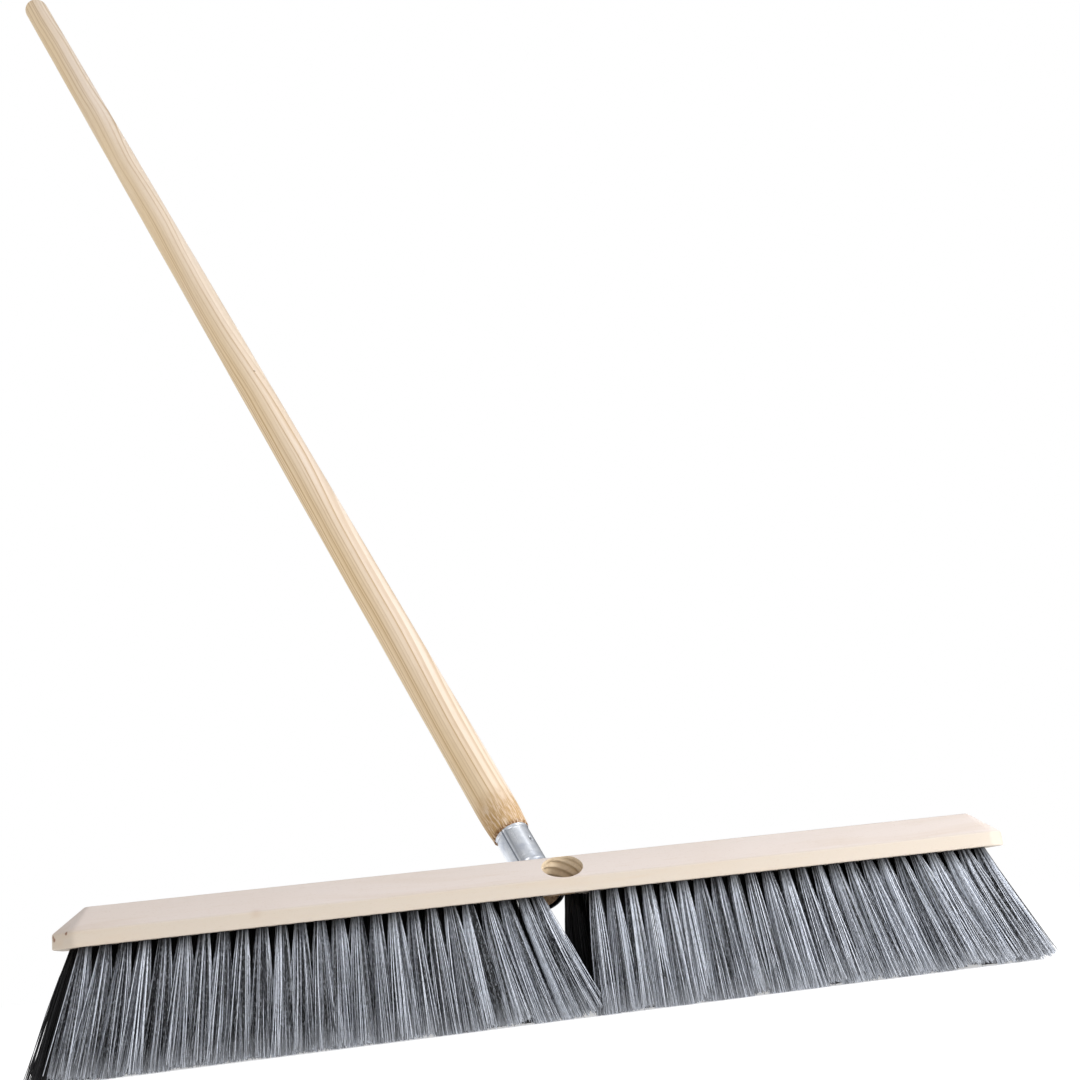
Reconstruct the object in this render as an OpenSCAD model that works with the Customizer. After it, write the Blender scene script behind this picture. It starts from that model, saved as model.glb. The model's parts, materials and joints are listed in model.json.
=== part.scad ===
// Push broom: a bevelled hardwood block with two threaded sockets, five rows of
// stapled bristle tufts, and a round wooden handle with a threaded steel ferrule.
// Origin: on the floor under the middle of the block. +X runs along the block,
// +Y points to the user, on the handle's side, and +Z is up. Sizes in millimetres.

/* [Block] */
// Length of the block
block_len = 609.6; // [600:0.1:612]
// Depth of the block, front to back
block_w = 67; // [66:0.5:70]
// Full thickness of the block
block_h = 23.4; // [22:0.1:26]
// Height of the upright sides below the bevel
side_h = 9.1; // [8:0.1:10]
// Width in plan of the bevel round the top
bevel_run = 18.4; // [16:0.1:20]
// Plan chamfer across each corner of the block
corner_cut = 13; // [8:1:16]

/* [Handle] */
// Overall length of the handle with its ferrule
handle_len = 1524; // [1200:1:1530]
// Diameter of the wooden stick
stick_d = 28.6; // [27:0.1:30]
// Tilt of the handle from upright
handle_tilt = 35.6; // [34:0.1:37]
// Swing of the handle towards -X, seen from above
handle_swing = 28.2; // [26:0.1:30]
// Offset of each socket mouth from the middle of the block
socket_offset = 5.4; // [4:0.1:7]
// Distance of each socket mouth down the bevel from its middle, in plan
mouth_out = 0.9; // [0.8:0.1:1.4]
// Depth that the ferrule is screwed in, along the socket's axis
ferrule_depth = 21.6; // [20:0.1:23]

/* [Ferrule and sockets] */
// Length of the ferrule
ferrule_len = 57.5; // [50:0.5:65]
// Outer diameter of the ferrule's plain sleeve
sleeve_d = 23.6; // [23:0.1:23.8]
// Bore of the socket between its thread grooves
socket_d = 24.2; // [24:0.1:24.6]
// Pitch of the coarse thread
thread_pitch = 5; // [4:0.5:6]
// Depth of the thread
thread_depth = 0.9; // [0.5:0.1:1]

/* [Bristles] */
// Length of the bristles below the block
trim_len = 74; // [70:1:80]
// Distance between tufts along a row
tuft_pitch = 11.3; // [11:0.1:11.4]
// Distance between rows at the block
row_pitch = 13.5; // [13:0.25:13.75]
// Diameter of a drilled tuft hole
hole_d = 6.5; // [6:0.1:7]
// Depth of a drilled tuft hole
hole_depth = 10.5; // [9:0.5:11]
// Width of a tuft at the floor
tip_d = 12.2; // [10:0.2:12.4]

/* [Hidden] */
$fn = 64;

eps = 0.01;
bevel_h = block_h - side_h;

// Handle and sockets
handle_axis = [-sin(handle_tilt) * sin(handle_swing),
               sin(handle_tilt) * cos(handle_swing),
               cos(handle_tilt)];
mouth = [-socket_offset,
         (block_w - bevel_run) / 2 + mouth_out,
         trim_len + side_h + bevel_h * (0.5 - mouth_out / bevel_run)];
tip = mouth - ferrule_depth * handle_axis;
socket_reach = 45;
groove_start = 8.75;
cutter_turn = 90;
socket_grooves = [0, 1, 2];
tenon_d = 20.7;
ferrule_bore = 20.8;
shoulder_d = 25.6;
shoulder_len = 28;
dome_h = 12;
thread_run = 38;
thread_turns = 7;
rim_bead = 0.5;
dimple_at = 47;
dimple_turn = 20;

// Bristles
tuft_fit = 0.05;
tuft_r = hole_d / 2 - tuft_fit;
staple_w = 5.8;
staple_t = 0.7;
staple_h = 2.6;
staple_drop = 2.2;
window_gap = 0.15;
row_lean = 6.25;
group_start_near = 13;
group_start_far = 22.3;
middle_start = (group_start_near + group_start_far) / 2;
lean_out = 28;
lean_near = 16;
lean_far = 4;
lean_middle = (lean_near + lean_far) / 2;
count_near = 25;
count_far = 24;

// One row's half: [row, start, sign, count, lean at its inner end]. Rows run
// from -2 at the front to 2 at the back. The layout is the same after half a
// turn about the upright axis, like the two sockets.
function half_row(row, side) =
    row == 0 ? [row, middle_start, side, count_near, lean_middle] :
    let (near = row * side > 0,
         shift = abs(row) == 1 ? tuft_pitch / 2 : 0,
         start = (near ? group_start_near : group_start_far) + shift)
    [row, start, side, near ? count_near : count_far, near ? lean_near : lean_far];

// Place of tuft i at the block, and where its bristles reach the floor.
function root_at(h, i) = [h[2] * (h[1] + i * tuft_pitch), h[0] * row_pitch, trim_len];
function foot_at(h, i) =
    let (part = i / (h[3] - 1),
         lean = -h[4] + part * (h[4] + lean_out))
    root_at(h, i) + [h[2] * lean, h[0] * row_lean, -trim_len];

// Turns +Z onto the line from point a to point b, with its origin at a.
module along(a, b) {
    v = b - a;
    translate(a)
        rotate([0, acos(v.z / norm(v)), atan2(v.y, v.x)])
            children();
}

module block_profile(half) {
    polygon([[-half, 0], [half, 0], [half, side_h], [half - bevel_run, block_h],
             [bevel_run - half, block_h], [-half, side_h]]);
}

// A long bar with the block's bevelled section, its length along Y.
module bevelled_bar(half, length) {
    rotate([90, 0, 0])
        linear_extrude(height = length, center = true)
            block_profile(half);
}

module block_blank() {
    corner_half = (block_len + block_w) / 2 * sqrt(0.5) - corner_cut * sqrt(0.5);
    intersection() {
        bevelled_bar(block_len / 2, 2 * block_w);
        rotate([0, 0, 90])
            bevelled_bar(block_w / 2, 2 * block_len);
        rotate([0, 0, 45])
            bevelled_bar(corner_half, 2 * block_len);
        rotate([0, 0, -45])
            bevelled_bar(corner_half, 2 * block_len);
    }
}

// The socket's cutter, on the handle's axis with z = 0 at the ferrule's tip.
module socket_cutter() {
    translate([0, 0, -socket_reach])
        cylinder(d = socket_d, h = 2 * socket_reach);
    for (turn = socket_grooves)
        translate([0, 0, groove_start + turn * thread_pitch])
            rotate_extrude()
                thread_section(socket_d / 2 - 1);
}

// One ridge of the coarse thread, from radius r_in outwards.
module thread_section(r_in) {
    crest = socket_d / 2 + thread_depth;
    polygon([[r_in, -thread_pitch * 0.3], [crest, -thread_pitch * 0.12],
             [crest, thread_pitch * 0.12], [r_in, thread_pitch * 0.3]]);
}

module tuft_holes() {
    for (row = [-2:2], side = [-1, 1]) {
        h = half_row(row, side);
        for (i = [0:h[3] - 1])
            along(root_at(h, i), foot_at(h, i))
                translate([0, 0, -hole_depth])
                    cylinder(d = hole_d, h = 2 * hole_depth);
    }
}

module block() {
    color([0.93, 0.86, 0.80])
        difference() {
            translate([0, 0, trim_len])
                block_blank();
            for (turn = [0, 180])
                rotate([0, 0, turn])
                    along(tip, mouth)
                        rotate([0, 0, cutter_turn])
                            socket_cutter();
            tuft_holes();
        }
}

// A half row of tufts. Each is a bundle folded over its staple at the top of
// its hole, and it widens from the block to the floor, where it is trimmed.
module tufts(row, side, shade) {
    h = half_row(row, side);
    color(shade)
        for (i = [0:h[3] - 1])
            difference() {
                tuft(root_at(h, i), foot_at(h, i));
                along(root_at(h, i), foot_at(h, i))
                    translate([-hole_d, -staple_t / 2 - window_gap, staple_z() - window_gap])
                        cube([2 * hole_d, staple_t + 2 * window_gap,
                              staple_h + 2 * window_gap]);
                translate([0, 0, -trim_len])
                    linear_extrude(height = trim_len)
                        square([4 * block_len, 4 * block_w], center = true);
            }
}

module tuft(root, foot) {
    reach = norm(foot - root) + tip_d / 2;
    along(root, foot) {
        translate([0, 0, -hole_depth + eps])
            cylinder(r = tuft_r, h = hole_depth);
        cylinder(r1 = tuft_r, r2 = tip_d / 2, h = reach);
    }
}

function staple_z() = staple_drop - hole_depth;

module staples(row, side) {
    h = half_row(row, side);
    color("silver")
        for (i = [0:h[3] - 1])
            along(root_at(h, i), foot_at(h, i))
                translate([-staple_w / 2, -staple_t / 2, staple_z()])
                    cube([staple_w, staple_t, staple_h]);
}

// Turned stick: a tenon inside the ferrule, a tapered shoulder, the round
// shaft and a domed top.
module handle_stick() {
    taper_end = ferrule_len + shoulder_len;
    dome_start = handle_len - dome_h;
    color([0.86, 0.74, 0.55])
        along(tip, mouth)
            union() {
                translate([0, 0, 0.5])
                    cylinder(d = tenon_d, h = ferrule_len);
                translate([0, 0, ferrule_len + 0.05])
                    cylinder(d1 = shoulder_d, d2 = stick_d, h = shoulder_len);
                translate([0, 0, taper_end])
                    cylinder(d = stick_d, h = dome_start - taper_end);
                translate([0, 0, dome_start - eps])
                    rotate_extrude()
                        intersection() {
                            translate([0, dome_h - stick_d])
                                circle(r = stick_d);
                            square([stick_d / 2, dome_h]);
                        }
            }
}

// Steel ferrule: a plain sleeve with a small bead at its rim, the coarse
// thread as a stack of ridges, and one staked dimple that grips the tenon.
module ferrule() {
    root_r = sleeve_d / 2 - thread_depth;
    color([0.72, 0.76, 0.82])
        along(tip, mouth)
            difference() {
                rotate_extrude()
                    ferrule_section(root_r);
                rotate([0, 0, dimple_turn])
                    translate([sleeve_d / 2 + 1.2, 0, dimple_at])
                        sphere(r = 2);
            }
}

module ferrule_section(root_r) {
    crest_r = sleeve_d / 2;
    difference() {
        union() {
            square([root_r, ferrule_len]);
            translate([0, thread_run])
                square([crest_r, ferrule_len - thread_run]);
            translate([crest_r - rim_bead / 2, ferrule_len - rim_bead])
                circle(r = rim_bead);
            for (turn = [0:thread_turns - 1])
                translate([0, 1 + turn * thread_pitch])
                    polygon([[1, 0], [root_r, 0], [crest_r, thread_pitch * 0.2],
                             [crest_r, thread_pitch * 0.4],
                             [root_r, thread_pitch * 0.6], [1, thread_pitch * 0.6]]);
        }
        translate([-1, -1])
            square([ferrule_bore / 2 + 1, ferrule_len + 2]);
    }
}

grey = [0.58, 0.60, 0.64];
black = [0.09, 0.09, 0.10];

block();
handle_stick();
ferrule();
tufts(-2, -1, grey);  // tufts_front_left
tufts(-2, 1, grey);  // tufts_front_right
tufts(-1, -1, black);  // tufts_inner_front_left
tufts(-1, 1, black);  // tufts_inner_front_right
tufts(0, -1, black);  // tufts_middle_left
tufts(0, 1, black);  // tufts_middle_right
tufts(1, -1, black);  // tufts_inner_back_left
tufts(1, 1, black);  // tufts_inner_back_right
tufts(2, -1, grey);  // tufts_back_left
tufts(2, 1, grey);  // tufts_back_right
staples(-2, -1);  // staples_front_left
staples(-2, 1);  // staples_front_right
staples(-1, -1);  // staples_inner_front_left
staples(-1, 1);  // staples_inner_front_right
staples(0, -1);  // staples_middle_left
staples(0, 1);  // staples_middle_right
staples(1, -1);  // staples_inner_back_left
staples(1, 1);  // staples_inner_back_right
staples(2, -1);  // staples_back_left
staples(2, 1);  // staples_back_right
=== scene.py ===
import json
import logging
import math
from dataclasses import dataclass, field
from enum import Enum
from typing import Sequence

import bmesh
import bpy
import numpy as np
from mathutils import Matrix, Vector


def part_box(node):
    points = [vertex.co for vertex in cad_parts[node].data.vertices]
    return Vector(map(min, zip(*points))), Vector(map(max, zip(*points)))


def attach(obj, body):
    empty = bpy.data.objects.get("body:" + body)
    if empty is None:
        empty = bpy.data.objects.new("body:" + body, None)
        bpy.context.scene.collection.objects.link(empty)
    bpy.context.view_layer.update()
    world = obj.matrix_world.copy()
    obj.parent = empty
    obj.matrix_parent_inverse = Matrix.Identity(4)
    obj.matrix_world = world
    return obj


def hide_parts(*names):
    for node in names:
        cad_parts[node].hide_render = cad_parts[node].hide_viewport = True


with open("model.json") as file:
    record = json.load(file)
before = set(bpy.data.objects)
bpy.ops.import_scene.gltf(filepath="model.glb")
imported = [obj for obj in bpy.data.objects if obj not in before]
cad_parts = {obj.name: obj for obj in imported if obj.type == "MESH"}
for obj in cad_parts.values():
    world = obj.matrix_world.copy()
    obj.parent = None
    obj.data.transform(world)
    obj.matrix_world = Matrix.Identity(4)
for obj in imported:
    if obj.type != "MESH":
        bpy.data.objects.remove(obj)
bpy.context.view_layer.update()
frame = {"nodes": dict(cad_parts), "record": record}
LOG = logging.getLogger("push_broom")
MM = 0.001
TURN = 2.0 * math.pi
GRIP_FROM_TIP = 798.8 * MM


# ---------------------------------------------------------------- shader maths


class Signal:
    """One output socket of a node tree, on which arithmetic adds Math nodes."""

    def __init__(self, paint: "NodeShop", socket: bpy.types.NodeSocket) -> None:
        """Wraps a socket.

        Args:
            paint: The shop that owns the socket's tree.
            socket: The output socket.
        """
        self.paint = paint
        self.socket = socket

    def _with(self, operation: str, *values: "Signal | float") -> "Signal":
        """Returns operation applied to the values, as a new signal."""
        return self.paint.maths(operation, *values)

    def __add__(self, other: "Signal | float") -> "Signal":
        """Returns self + other."""
        return self._with("ADD", self, other)

    __radd__ = __add__

    def __sub__(self, other: "Signal | float") -> "Signal":
        """Returns self - other."""
        return self._with("SUBTRACT", self, other)

    def __rsub__(self, other: "Signal | float") -> "Signal":
        """Returns other - self."""
        return self._with("SUBTRACT", other, self)

    def __mul__(self, other: "Signal | float") -> "Signal":
        """Returns self * other."""
        return self._with("MULTIPLY", self, other)

    __rmul__ = __mul__

    def __truediv__(self, other: "Signal | float") -> "Signal":
        """Returns self / other."""
        return self._with("DIVIDE", self, other)

    def __pow__(self, other: "Signal | float") -> "Signal":
        """Returns self raised to other."""
        return self._with("POWER", self, other)

    def sine(self) -> "Signal":
        """Returns the sine of the signal."""
        return self._with("SINE", self)

    def fraction(self) -> "Signal":
        """Returns the fractional part of the signal."""
        return self._with("FRACT", self)

    def ramp(self, low: float, high: float) -> "Signal":
        """Returns a smooth step of the signal.

        Args:
            low: Value at which the step is still 0.
            high: Value at which it has reached 1. It may lie below low.
        """
        node = self.paint.add(
            "ShaderNodeMapRange",
            {"interpolation_type": "SMOOTHSTEP"},
            {"Value": self, "From Min": low, "From Max": high},
        )
        return Signal(self.paint, node.outputs["Result"])


class NodeShop:
    """A node tree under construction, with one method that adds any node."""

    def __init__(self, tree: bpy.types.NodeTree) -> None:
        """Empties a node tree and starts afresh.

        Args:
            tree: The tree to fill.
        """
        self.tree = tree
        self.tree.nodes.clear()
        self.place: Signal = Signal(
            self, self.add("ShaderNodeTexCoord", {}, {}).outputs["Object"]
        )

    def add(self, kind: str, settings: dict, inputs: dict) -> bpy.types.Node:
        """Adds one node.

        Args:
            kind: The node's type name.
            settings: Properties, set first; "stops" fills a colour ramp.
            inputs: Input name or number to a value or a Signal.

        Returns:
            The new node.
        """
        node = self.tree.nodes.new(kind)
        for key, value in settings.items():
            if key == "stops":
                self._fill_ramp(node.color_ramp, value)
            else:
                setattr(node, key, value)
        for key, value in inputs.items():
            if isinstance(value, Signal):
                self.tree.links.new(value.socket, node.inputs[key])
            else:
                node.inputs[key].default_value = value
        return node

    @staticmethod
    def _fill_ramp(ramp: bpy.types.ColorRamp, stops: Sequence) -> None:
        """Gives a colour ramp its stops.

        Args:
            ramp: The ramp.
            stops: Pairs of position and colour, in order.
        """
        while len(ramp.elements) > 1:
            ramp.elements.remove(ramp.elements[-1])
        for index, (position, colour) in enumerate(stops):
            element = ramp.elements[0] if index == 0 else ramp.elements.new(position)
            element.position = position
            element.color = (*colour, 1.0)

    def maths(self, operation: str, *values: Signal | float) -> Signal:
        """Returns one Math node's result on the values."""
        node = self.add("ShaderNodeMath", {"operation": operation}, dict(enumerate(values)))
        return Signal(self, node.outputs[0])

    def vector(self, operation: str, *values: Signal | Sequence, output: str = "Vector") -> Signal:
        """Returns one Vector Math node's result.

        Args:
            operation: The node's operation.
            *values: Signals, or plain vectors.
            output: Name of the output socket.
        """
        node = self.add("ShaderNodeVectorMath", {"operation": operation}, {})
        for slot, value in enumerate(values):
            if isinstance(value, Signal):
                self.tree.links.new(value.socket, node.inputs[slot])
            else:
                node.inputs[slot].default_value = tuple(value)
        return Signal(self, node.outputs[output])

    def along(self, axis: Vector, origin: Vector) -> Signal:
        """Returns the distance along axis, in metres from origin."""
        from_origin = self.vector("SUBTRACT", self.place, origin)
        return self.vector("DOT_PRODUCT", from_origin, axis, output="Value")

    def pack(self, x: Signal | float, y: Signal | float, z: Signal | float) -> Signal:
        """Returns a vector of three numbers."""
        node = self.add("ShaderNodeCombineXYZ", {}, {0: x, 1: y, 2: z})
        return Signal(self, node.outputs[0])

    def noise(self, where: Signal, scale: float, detail: float = 2.0, rough: float = 0.5) -> Signal:
        """Returns fractal noise, about 0 to 1.

        Args:
            where: The place it is read at.
            scale: Cells to a unit of length.
            detail: Number of finer octaves.
            rough: Strength of each octave against the one before.
        """
        node = self.add(
            "ShaderNodeTexNoise",
            {},
            {"Vector": where, "Scale": scale, "Detail": detail, "Roughness": rough},
        )
        return Signal(self, node.outputs[0])

    def spots(self, where: Signal, scale: float) -> Signal:
        """Returns the distance to the nearest of a cloud of scattered points."""
        node = self.add("ShaderNodeTexVoronoi", {}, {"Vector": where, "Scale": scale})
        return Signal(self, node.outputs["Distance"])

    def blend(self, share: Signal | float, first: Signal | Sequence,
              second: Signal | Sequence) -> Signal:
        """Returns a mix of two colours.

        Args:
            share: 0 for the first colour, 1 for the second.
            first: A colour, or a signal of one.
            second: A colour, or a signal of one.
        """
        node = self.add("ShaderNodeMix", {"data_type": "RGBA"}, {0: share})
        for slot, colour in ((6, first), (7, second)):
            if isinstance(colour, Signal):
                self.tree.links.new(colour.socket, node.inputs[slot])
            else:
                node.inputs[slot].default_value = (*colour, 1.0)
        return Signal(self, node.outputs[2])

    def bump(self, height: Signal, depth: float, strength: float = 1.0) -> Signal:
        """Returns a bumped normal.

        Args:
            height: Relief, from 0 to 1.
            depth: Depth of the whole relief, in metres.
            strength: Share of it that is used.
        """
        node = self.add(
            "ShaderNodeBump", {}, {"Height": height, "Distance": depth, "Strength": strength}
        )
        return Signal(self, node.outputs[0])


class Paint(NodeShop):
    """A material under construction."""

    def __init__(self, name: str) -> None:
        """Starts an empty node material.

        Args:
            name: The material's name.
        """
        self.material = bpy.data.materials.new(name)
        self.material.use_nodes = True
        super().__init__(self.material.node_tree)

    def finish(self, **sockets: Signal | float | tuple) -> bpy.types.Material:
        """Closes the material with one shader.

        Args:
            **sockets: Shader inputs, with underscores for spaces.

        Returns:
            The finished material.
        """
        named = {key.replace("_", " "): value for key, value in sockets.items()}
        shader = self.add("ShaderNodeBsdfPrincipled", {}, named)
        self.add("ShaderNodeOutputMaterial", {}, {0: Signal(self, shader.outputs[0])})
        return self.material


# -------------------------------------------------------------------- finishes


@dataclass(frozen=True)
class BlockWood:
    """Pale close-grained hardwood, planed, with long grain along X."""

    # The upright sides and the bevel are shaded and lit copies of one wood: the bevel's extra brightness
    # is painted light, and its pinker tint is its own.
    side: tuple = (0.61, 0.532, 0.448)
    bevel: tuple = (0.79, 0.700, 0.650)
    streak: tuple = (0.62, 0.475, 0.335)
    pore: tuple = (0.50, 0.35, 0.24)
    # Dark colour of three small spots low on the front left corner: painted shade at the block's lower
    # end.
    corner_shade: tuple = (0.20, 0.075, 0.03)
    side_height: float = 9.1 * MM
    corner_shade_spots: tuple = ((-294.9, -30.2, 82.6, 1.5), (-302.8, -22.4, 79.8, 1.7), (-303.4, -21.4, 81.4, 1.3))
    blemish: tuple = (-185.6, -33.5, 82.2, 5.0)

    def make(self, name: str, base_z: float) -> bpy.types.Material:
        """Returns the material.

        Args:
            name: The material's name.
            base_z: Height of the block's underside.
        """
        paint = Paint(name)
        x = paint.along(Vector((1, 0, 0)), Vector())
        y = paint.along(Vector((0, 1, 0)), Vector())
        z = paint.along(Vector((0, 0, 1)), Vector((0, 0, base_z)))
        sway = paint.noise(paint.pack(x * 3.0, y * 12.0, z * 12.0), 1.0)
        growth = paint.noise(paint.pack(x * 5.0, y * 90.0 + sway * 4.0, z * 150.0 + sway * 6.0), 1.0, 3.0)
        fibre = paint.noise(paint.pack(x * 60.0, y * 900.0, z * 900.0), 1.0, 2.0, 0.6)
        flecks = paint.spots(paint.pack(x * 260.0, y * 1500.0, z * 1500.0), 1.0)
        cloud = paint.noise(paint.place, 9.0, 2.0)
        # Above the sides the bevel's lighter colour is blended in: painted light on the upward-facing
        # bevel.
        on_bevel = z.ramp(self.side_height - 1.2 * MM, self.side_height + 1.4 * MM)
        tone = paint.blend(on_bevel, self.side, self.bevel)
        tone = paint.blend(growth.ramp(0.48, 0.80) * 0.34, tone, self.streak)
        tone = paint.blend(cloud.ramp(0.45, 0.75) * 0.16, tone, self.streak)
        tone = paint.blend(fibre.ramp(0.58, 0.80) * 0.20, tone, self.streak)
        fleck_mask = flecks.ramp(0.22, 0.10)
        tone = paint.blend(fleck_mask * 0.26, tone, self.pore)
        # Three small dark spots low on the front left corner: painted shade.
        for kx, ky, kz, size in self.corner_shade_spots:
            away = paint.vector("DISTANCE", paint.place, Vector((kx, ky, kz)) * MM, output="Value")
            tone = paint.blend(away.ramp(size * MM, 0.35 * size * MM) * 0.85, tone, self.corner_shade)
        kx, ky, kz, size = self.blemish
        away = paint.vector("DISTANCE", paint.place, Vector((kx, ky, kz)) * MM, output="Value")
        tone = paint.blend(away.ramp(size * MM, 0.0) * 0.30, tone, self.pore)
        height = fibre * 0.5 + growth * 0.3 - fleck_mask * 0.6
        return paint.finish(
            Base_Color=tone,
            Roughness=0.50 + fibre * 0.14,
            Normal=paint.bump(height, 0.12 * MM, 0.6),
            Specular_IOR_Level=0.4,
        )


@dataclass(frozen=True)
class SocketWood:
    """Freshly cut wood inside a socket: warmer, with torn grain, brown blotches and painted shade deep in
    the hole.
    """

    light: tuple = (0.72, 0.585, 0.41)
    dark: tuple = (0.38, 0.25, 0.14)

    def make(self, name: str, base_z: float) -> bpy.types.Material:
        """Returns the material.

        Args:
            name: The material's name.
            base_z: Height of the block's underside.
        """
        paint = Paint(name)
        z = paint.along(Vector((0, 0, 1)), Vector((0, 0, base_z)))
        grain = paint.noise(paint.vector("MULTIPLY", paint.place, (250.0, 900.0, 900.0)), 1.0, 2.0, 0.6)
        broad = paint.noise(paint.place, 160.0, 2.0)
        tone = paint.blend(grain.ramp(0.45, 0.80) * 0.30, self.light, self.dark)
        tone = paint.blend(broad.ramp(0.50, 0.80) * 0.25, tone, self.dark)
        # Darker towards the block's underside, deep in the socket: painted shade.
        tone = paint.blend(z.ramp(16.5 * MM, 7.0 * MM) * 0.80, tone, self.dark)
        return paint.finish(
            Base_Color=tone,
            Roughness=0.60 + grain * 0.2,
            Normal=paint.bump(grain, 0.12 * MM, 0.6),
        )


@dataclass(frozen=True)
class HandlePine:
    """Turned softwood: tan growth rings that wander along the stick."""

    early: tuple = (0.88, 0.675, 0.420)
    late: tuple = (0.50, 0.300, 0.110)
    # Pale pink: the painted highlight on one side of the handle, and the torn fibres on the shoulder.
    blush_and_highlight: tuple = (0.90, 0.760, 0.630)
    raw: tuple = (0.55, 0.34, 0.155)
    burn: tuple = (0.18, 0.075, 0.022)
    end_grain: tuple = (0.40, 0.24, 0.11)
    # Near-black colour of the painted shade in the recess round the tenon's end.
    shade: tuple = (0.010, 0.008, 0.006)
    ring_width: float = 2.7 * MM
    pith: tuple[float, float] = (20.0 * MM, -20.0 * MM)

    def make(self, name: str, shaft: "Shaft", shoulder: tuple[float, float],
             mark: tuple[float, float]) -> bpy.types.Material:
        """Returns the material.

        Args:
            name: The material's name.
            shaft: The handle's own frame.
            shoulder: Start and end of the rough tapered shoulder, from the tip.
            mark: Turn and distance from the tip of one small dark spot.
        """
        paint = Paint(name)
        s = paint.along(shaft.axis, shaft.tip)
        a = paint.along(shaft.side, shaft.tip)
        b = paint.along(shaft.front, shaft.tip)
        bend = paint.noise(paint.pack(s * 3.1, a * 6.0, b * 6.0), 1.0, 1.0) - 0.5
        knee = paint.noise(paint.pack(s * 11.0, a * 20.0, b * 20.0), 1.0, 1.0) - 0.5
        across = a - self.pith[0] + bend * 0.016 + knee * 0.0050 + s * 0.003
        deep = b - self.pith[1] - bend * 0.010 + knee * 0.0030
        radius = (across * across + deep * deep) ** 0.5
        uneven = paint.noise(paint.pack(radius * 260.0, s * 0.6, 0.0), 1.0, 1.0)
        ring = (radius / self.ring_width + uneven * 1.7).fraction()
        late = ring.ramp(0.35, 0.93) * ring.ramp(1.0, 0.95)
        heavy = paint.noise(paint.pack(radius * 190.0, s * 1.5, 3.0), 1.0, 1.0).ramp(0.30, 0.66)
        thin = (radius / (0.8 * MM) + knee * 2.0).sine() * 0.5 + 0.5
        fibre = paint.noise(paint.pack(s * 55.0, a * 1500.0, b * 1500.0), 1.0, 2.0, 0.65)
        pores = paint.spots(paint.pack(s * 90.0, a * 1400.0, b * 1400.0), 1.0).ramp(0.26, 0.12)
        blotch = paint.noise(paint.pack(s * 7.0, a * 30.0, b * 30.0), 1.0, 1.0)
        # One side of the handle is painted paler, towards the pale pink colour: a painted highlight where
        # the key light falls.
        painted_light = (b * 0.705 - a * 0.71).ramp(-9 * MM, 9 * MM)
        tone = paint.blend(painted_light * 0.8 + blotch.ramp(0.35, 0.7) * 0.2, self.early, self.blush_and_highlight)
        tone = paint.blend(late * heavy * 0.80, tone, self.late)
        tone = paint.blend(thin * heavy * 0.12, tone, self.late)
        tone = paint.blend(fibre.ramp(0.52, 0.78) * 0.20, tone, self.late)
        tone = paint.blend(pores * 0.18, tone, self.late)
        start, end = shoulder
        torn = paint.noise(paint.pack(s * 110.0, a * 1000.0, b * 1000.0), 1.0, 3.0, 0.65)
        on_shoulder = s.ramp(end + 8 * MM, start + 8 * MM)
        tone = paint.blend(on_shoulder * 0.62, tone, self.raw)
        tone = paint.blend(on_shoulder * torn.ramp(0.48, 0.58) * 0.85, tone, self.late)
        tone = paint.blend(on_shoulder * torn.ramp(0.47, 0.36) * 0.55, tone, self.blush_and_highlight)
        lip = s.ramp(start + 3.4 * MM, start - 0.5 * MM) * torn.ramp(0.36, 0.60)
        tone = paint.blend(lip, tone, self.burn)
        out = (a * a + b * b) ** 0.5
        cut_end = s.ramp(8 * MM, 6 * MM)
        rays = paint.noise(paint.pack(a * 1100.0, b * 240.0, 0.0), 1.0, 2.0)
        tone = paint.blend(cut_end * 0.85, tone, self.end_grain)
        tone = paint.blend(cut_end * rays.ramp(0.48, 0.60) * 0.85, tone, self.burn)
        # A near-black ring round the tenon's cut end, inside the ferrule lip: painted shade in the recess,
        # with some grime.
        tone = paint.blend(out.ramp(6.7 * MM, 7.4 * MM) * cut_end, tone, self.shade)
        spot_place = Vector(shaft.turned(np.array(14.3 * MM), np.array(mark[0]), np.array(mark[1])))
        away = paint.vector("DISTANCE", paint.place, spot_place, output="Value")
        tone = paint.blend(away.ramp(1.5 * MM, 0.5 * MM) * 0.75, tone, self.burn)
        height = fibre * 0.35 + late * 0.2 + torn * on_shoulder * 1.8 - pores * 0.3
        return paint.finish(
            Base_Color=tone,
            Roughness=0.40 + fibre * 0.15 + on_shoulder * 0.25,
            Coat_Weight=(1.0 - on_shoulder) * 0.25,
            Coat_Roughness=0.28,
            Normal=paint.bump(height, 0.16 * MM, 0.7),
            Specular_IOR_Level=0.45,
        )


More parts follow.
